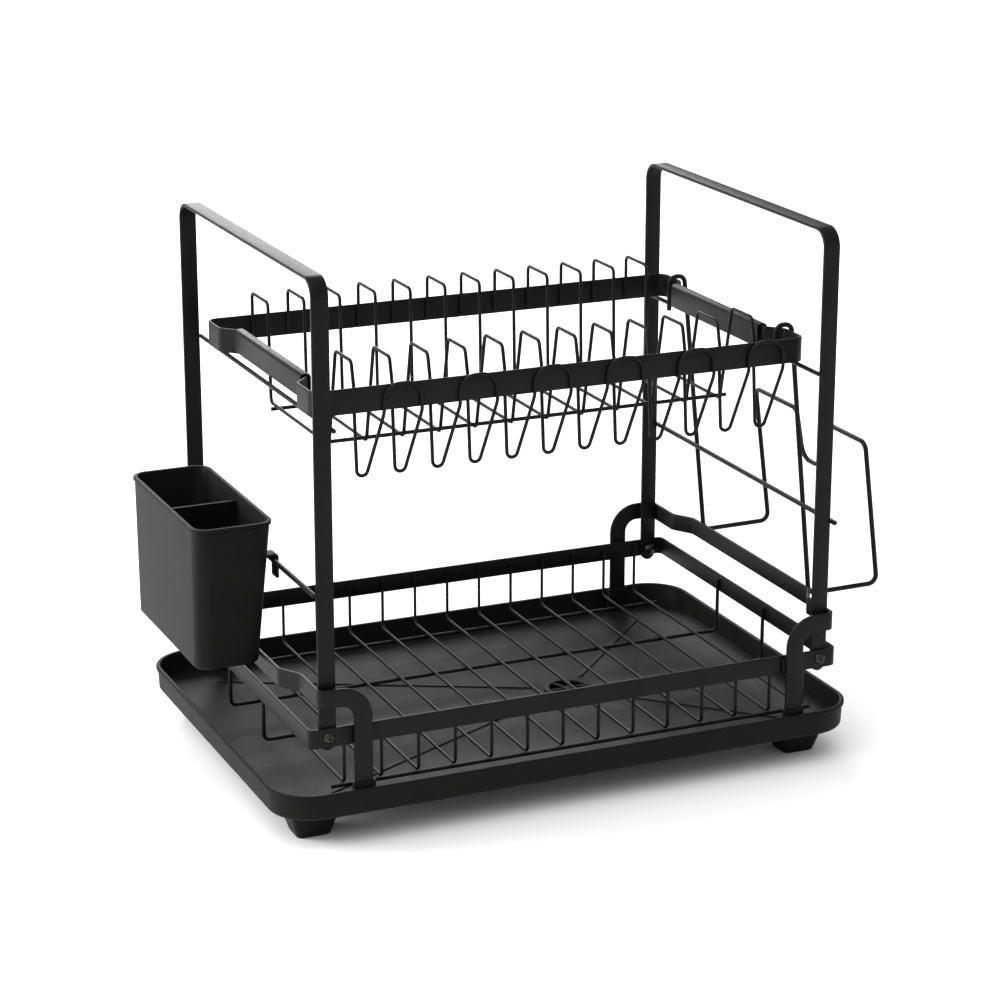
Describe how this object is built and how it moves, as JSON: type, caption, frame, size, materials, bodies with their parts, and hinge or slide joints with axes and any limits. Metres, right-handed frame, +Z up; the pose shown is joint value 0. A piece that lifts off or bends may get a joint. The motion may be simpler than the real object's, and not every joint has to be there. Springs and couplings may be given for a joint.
{
  "type": "dish drying rack",
  "caption": "Tiered dish drying rack in black wire and flat bar: basket with carry handles in a drip tray, hoop posts, lift-off plate rack, cutlery caddy and board holder.",
  "frame": {"origin": "on the table, under the middle of the whole rack's bounding box", "axes": "+X along the rack towards the board holder, +Y from the front to the back, +Z up"},
  "size_m": [0.5797, 0.3396, 0.433],
  "materials": {
    "steel": "matte black powder coat",
    "plastic": "fine-textured matte black moulded plastic",
    "screw": "blackened screw"
  },
  "bodies": {
    "drip_tray": {"drip_tray": "plastic", "drain_strainer": "plastic"},
    "drain_spout": {"drain_spout": "plastic"},
    "basket": {"back_rail": "steel", "basket_band": "steel", "basket_wire_01": "steel", "basket_wire_02": "steel", "basket_wire_03": "steel", "basket_wire_04": "steel", "basket_wire_05": "steel", "basket_wire_06": "steel", "basket_wire_07": "steel", "basket_wire_08": "steel", "basket_wire_09": "steel", "basket_wire_10": "steel", "basket_wire_11": "steel", "basket_wire_12": "steel", "basket_wire_13": "steel", "basket_wire_14": "steel", "cap_nut_back_left": "screw", "cap_nut_back_right": "screw", "cap_nut_front_left": "screw", "cap_nut_front_right": "screw", "cross_wire_left": "steel", "cross_wire_right": "steel", "front_rail": "steel", "hoop_left": "steel", "hoop_right": "steel", "leg_cap_back_left": "plastic", "leg_cap_back_right": "plastic", "leg_cap_front_left": "plastic", "leg_cap_front_right": "plastic", "leg_frame_left": "steel", "leg_frame_right": "steel", "long_wire_back": "steel", "long_wire_front": "steel", "screw_back_left": "screw", "screw_back_right": "screw", "screw_front_left": "screw", "screw_front_right": "screw", "spacer_back_left": "steel", "spacer_back_right": "steel", "spacer_front_left": "steel", "spacer_front_right": "steel", "support_wire_left": "steel", "support_wire_right": "steel"},
    "plate_rack": {"divider_wire_1": "steel", "divider_wire_2": "steel", "divider_wire_3": "steel", "divider_wire_4": "steel", "divider_wire_5": "steel", "divider_wire_6": "steel", "grip_left": "steel", "grip_right": "steel", "rack_band": "steel", "rack_rail_back": "steel", "rack_rail_front": "steel"},
    "cutlery_caddy": {"cutlery_caddy": "plastic"},
    "board_holder": {"board_holder": "steel"}
  },
  "joints": [
    {"name": "spout_swivel", "type": "hinge", "parent": "drip_tray", "child": "drain_spout", "pos_m": [0.05188, -0.0015, 0.01825], "axis": [0, 0, 1], "range_deg": [-100, 100]},
    {"name": "basket_lift", "type": "slide", "parent": "drip_tray", "child": "basket", "axis": [0, 0, 1], "range_m": [0, 0.05]},
    {"name": "plate_rack_lift", "type": "slide", "parent": "basket", "child": "plate_rack", "axis": [0, 0, 1], "range_m": [0, 0.045]},
    {"name": "board_holder_lift", "type": "slide", "parent": "plate_rack", "child": "board_holder", "axis": [0, 0, 1], "range_m": [0, 0.035]},
    {"name": "caddy_lift", "type": "slide", "parent": "basket", "child": "cutlery_caddy", "axis": [0, 0, 1], "range_m": [0, 0.06]}
  ]
}
